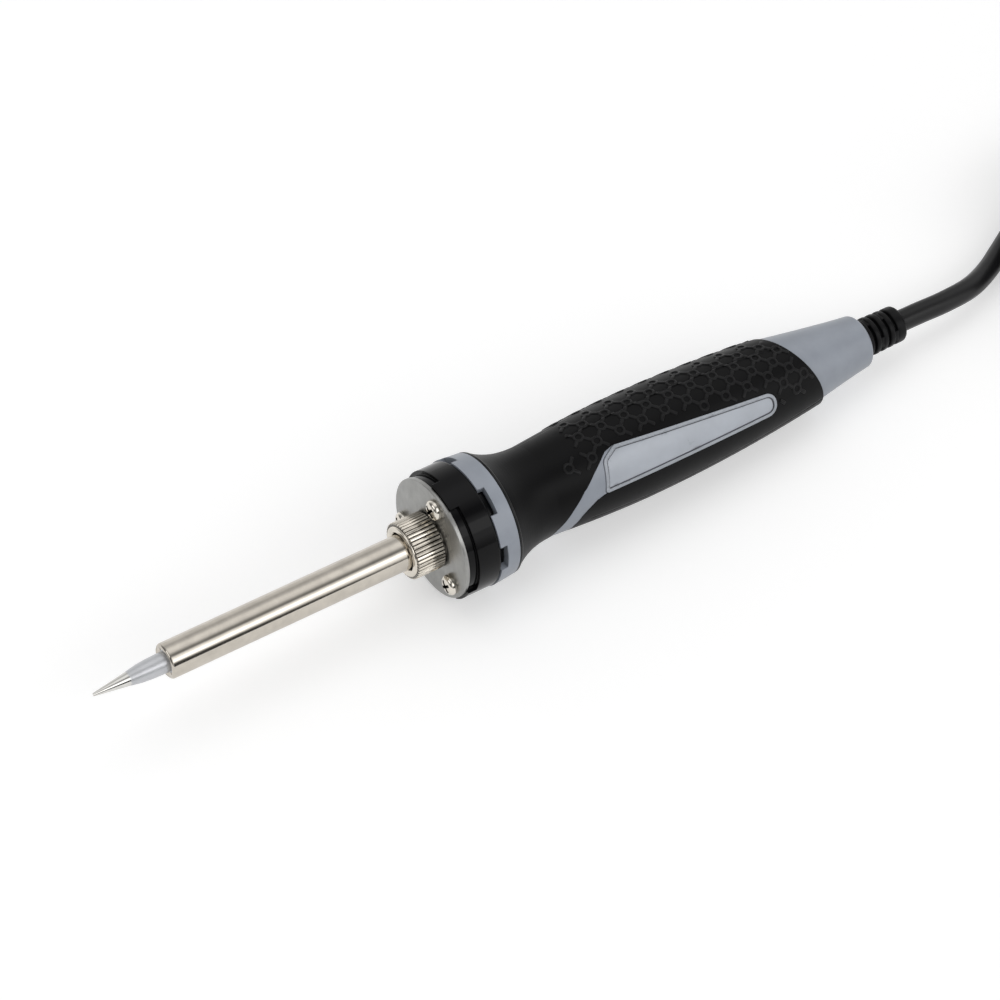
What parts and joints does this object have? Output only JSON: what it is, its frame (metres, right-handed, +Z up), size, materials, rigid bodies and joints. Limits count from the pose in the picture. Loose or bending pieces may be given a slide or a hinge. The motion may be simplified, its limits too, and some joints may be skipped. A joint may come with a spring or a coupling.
{
  "type": "soldering iron",
  "caption": "Mains soldering iron with a conical tip, a knurled barrel nut, a round flange and a rubber grip, its cord folded in a tied hank with a plug.",
  "frame": {"origin": "centre of the iron's bounding box in X and Y, on the surface it lies on, measured without the free cord", "axes": "+X runs from the tip to the cord, +Z up; the iron lies on its flange and on its grip, so its axis falls by about 3 degrees towards the cord"},
  "size_m": [0.4403, 0.056, 0.055],
  "materials": {
    "tip_metal": "iron plated, tinned at the point",
    "nickel": "nickel plated, fine turned",
    "nickel_nut": "nickel plated, knurled",
    "ceramic": "glazed ceramic",
    "plate_steel": "zinc plated, satin",
    "screw_steel": "bright plated",
    "shield_black": "gloss, heat resistant",
    "grey_plastic": "satin moulding",
    "label_plastic": "satin, raised border",
    "grip_rubber": "matt with small raised rings and bars",
    "cord_black": "matt",
    "plug_black": "satin",
    "brass": "bright",
    "board": "laminate",
    "block_plastic": "satin",
    "fibre_sleeve": "woven glass fibre",
    "insulation_brown": "satin",
    "insulation_blue": "satin",
    "insulation_green_yellow": "satin",
    "tie_black": "satin strap"
  },
  "bodies": {
    "handle": {"barrel_socket": "nickel", "ceramic_heater": "ceramic", "heater_collar": "ceramic", "flange_plate": "plate_steel", "plate_screws": "screw_steel", "heat_shield_ring": "shield_black", "earth_tag": "brass", "earth_wire": "insulation_green_yellow", "heater_leads": "nickel", "lead_sleeves": "fibre_sleeve", "terminal_block": "block_plastic", "terminal_screws": "brass", "wiring_carrier": "board", "live_core": "insulation_brown", "neutral_core": "insulation_blue", "earth_core": "insulation_green_yellow", "cord_clamp": "plug_black", "clamp_screws": "screw_steel", "handle_body": "grey_plastic", "grip_sleeve": "grip_rubber", "label_plate_left": "label_plastic", "label_plate_right": "label_plastic", "strain_relief": "cord_black", "inner_cord": "cord_black", "cord_lead": "cord_black", "cord_hank": "cord_black", "cord_tail": "cord_black", "cord_tie": "tie_black", "plug_body": "plug_black", "plug_sleeve": "cord_black", "plug_pins": "screw_steel", "plug_earth_clips": "brass"},
    "barrel": {"barrel_tube": "nickel", "soldering_tip": "tip_metal"},
    "nut": {"barrel_nut": "nickel_nut"}
  },
  "joints": [
    {"name": "barrel_travel", "type": "slide", "parent": "handle", "child": "barrel", "axis": [-0.9987, 0, 0.0518], "range_m": [0, 0.0045]},
    {"name": "nut_turn", "type": "hinge", "parent": "barrel", "child": "nut", "pos_m": [-0.02943, 0, 0.01796], "axis": [-0.9987, 0, 0.0518], "range_deg": [0, 1621]}
  ],
  "couplings": [
    {"joint": "nut_turn", "follows": "barrel_travel", "rad_per_m": 6283.2}
  ]
}
